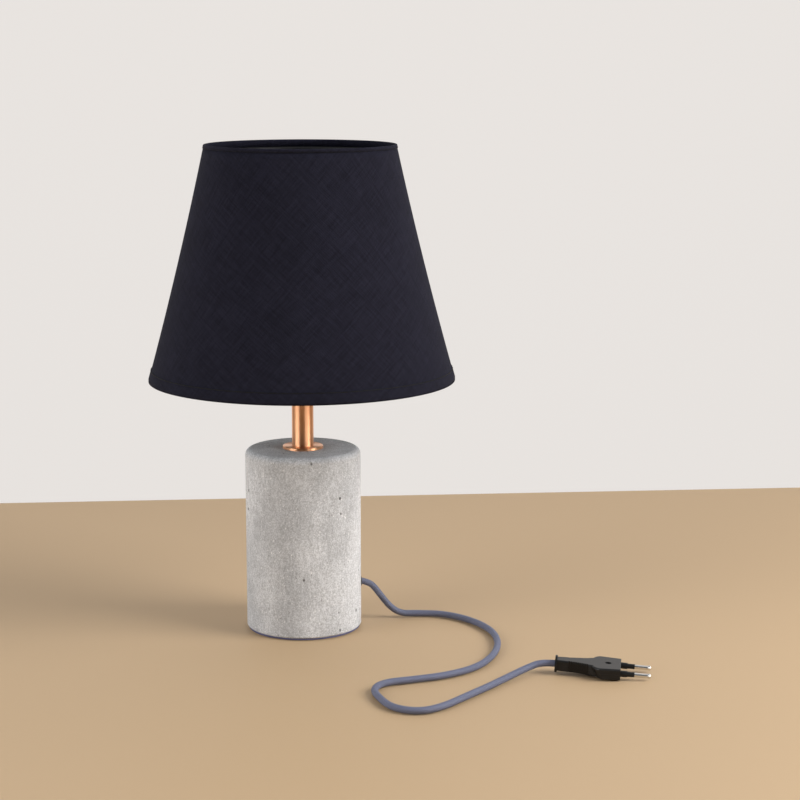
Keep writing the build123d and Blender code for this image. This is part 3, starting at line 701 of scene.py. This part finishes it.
def stitch_and_edge_shade_finish():
    """Black sewing thread, twisted, slightly glossy; its near-black colour is partly painted shade,
    standing in for the shadow line along each hem's edge.
    """
    material, start, shader = new_finish("thread_and_painted_edge_shade", roughness=0.7, specular_ior_level=0.2)
    place = start.node("TexCoord", {}, {}, "Object")
    twist = start.noise(place, 2600.0, 2.0)
    feed(start, shader, base_color=twist.blend((0.0015, 0.0015, 0.0020), (0.0045, 0.0045, 0.0060)))
    return material


thread = stitch_and_edge_shade_finish()
for piece in (lower_stitches, upper_stitches):
    piece.data.materials.append(thread)
    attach(piece, "shade")


def lining_finish():
    """Black styrene sheet: smooth, with the faint waviness of rolled sheet."""
    material, start, shader = new_finish("dark_styrene", specular_ior_level=0.2)
    place = start.node("TexCoord", {}, {}, "Object")
    waves = start.noise(place, 24.0, 2.0)
    dust = start.noise(place, 1800.0, 2.0)
    shown = (waves * 0.6 + dust * 0.4).clear_of(0.3, 0.7)
    colour = shown.blend((0.004, 0.004, 0.006), (0.009, 0.009, 0.012))
    surface = start.bump(waves, 0.0003, 0.3)
    feed(start, shader, base_color=colour, roughness=0.60 + waves * 0.2, normal=surface)
    return material


dress(lining_finish(), "shade_liner")


def lacquer_finish():
    """Black lacquered wire with a soft gloss and small runs in the lacquer."""
    material, start, shader = new_finish("black_lacquer", specular_ior_level=0.25)
    place = start.node("TexCoord", {}, {}, "Object")
    runs = start.noise(place, 300.0, 2.0)
    colour = runs.blend((0.005, 0.005, 0.0055), (0.011, 0.011, 0.012))
    surface = start.bump(runs, 0.00005, 0.5)
    feed(start, shader, base_color=colour, roughness=0.45 + runs * 0.15, normal=surface)
    return material


dress(lacquer_finish(), "fitter_ring", "spider_arms", "lower_wire", "upper_wire")

# ---- table, wall and light ----------------------------------------------------------------
# A plain pale table top with a plain, evenly lit wall well behind it, a large soft light on
# the right, another on the left, a weak one above and a pale surround that is darker at the
# front. Two low cards stand beside the lamp only for its copper to reflect.
bpy.ops.object.select_all(action="DESELECT")
bpy.ops.mesh.primitive_plane_add(size=9, location=(0, 0, -0.0004))
table = bpy.context.object
table.name = "table_top"
bpy.ops.object.mode_set(mode="EDIT")
bpy.ops.mesh.select_all(action="SELECT")
bpy.ops.mesh.bisect(plane_co=(0, 0.401, 0), plane_no=(-0.0385, 1, 0), clear_outer=True)
bpy.ops.object.mode_set(mode="OBJECT")
bpy.ops.object.transform_apply(location=True, rotation=False, scale=False)
material, start, shader = new_finish("pale_table", base_color=(0.500, 0.350, 0.203, 1), roughness=0.6)
table.data.materials.append(material)

bpy.ops.object.select_all(action="DESELECT")
bpy.ops.mesh.primitive_plane_add(size=9, location=(0, 2.0, 0), rotation=(radians(90), 0, 0))
wall = bpy.context.object
wall.name = "wall"
bpy.ops.object.transform_apply(location=True, rotation=True, scale=True)
material, start, shader = new_finish(
    "pale_wall",
    base_color=(0.10, 0.10, 0.10, 1),
    roughness=0.9,
    emission_color=(0.755, 0.72, 0.69, 1),
    emission_strength=1.0,
)
wall.data.materials.append(material)


def soft_light(name, place, target, size, power, colour):
    """Rectangular soft light at a place, turned to face a target."""
    light = bpy.data.lights.new(name, "AREA")
    light.shape = "RECTANGLE"
    light.size, light.size_y = size
    light.energy = power
    light.color = colour
    stand = bpy.data.objects.new(name, light)
    bpy.context.scene.collection.objects.link(stand)
    stand.location = place
    stand.rotation_euler = (Vector(target) - Vector(place)).to_track_quat("-Z", "Y").to_euler()
    stand.visible_camera = False
    return stand


soft_light("key_light", (1.35, -0.55, 0.92), (0, 0, 0.10), (0.9, 0.9), 27, (1.0, 0.992, 0.985))
soft_light("left_light", (-1.30, -0.75, 0.75), (0, 0, 0.12), (1.1, 1.3), 15, (0.98, 0.99, 1.0))
soft_light("top_light", (0.0, 0.0, 2.4), (0, 0.0, 0.2), (1.6, 1.6), 3, (1.0, 1.0, 1.0))
STEM = (0, 0, 0.12)
card = soft_light("right_card", (0.46, -0.39, 0.18), STEM, (0.62, 0.36), 1.4, (1.0, 0.99, 0.98))
card.visible_diffuse = False
card = soft_light("left_card", (-0.54, -0.27, 0.18), STEM, (0.72, 0.36), 1.0, (0.98, 0.99, 1.0))
card.visible_diffuse = False

world = bpy.data.worlds.new("surround")
bpy.context.scene.world = world
world.use_nodes = True
around = Signal(world.node_tree)
direction = around.node("TexCoord", {}, {}, "Generated")
behind = around.node("SeparateXYZ", {}, {0: direction}, "Y").clear_of(-0.7, 0.1)
colour = behind.blend((0.22, 0.22, 0.23), (0.92, 0.93, 0.95))
surround = world.node_tree.nodes["Background"]
world.node_tree.links.new(colour.socket, surround.inputs["Color"])
surround.inputs["Strength"].default_value = 0.42
bpy.context.scene.view_settings.view_transform = "Standard"
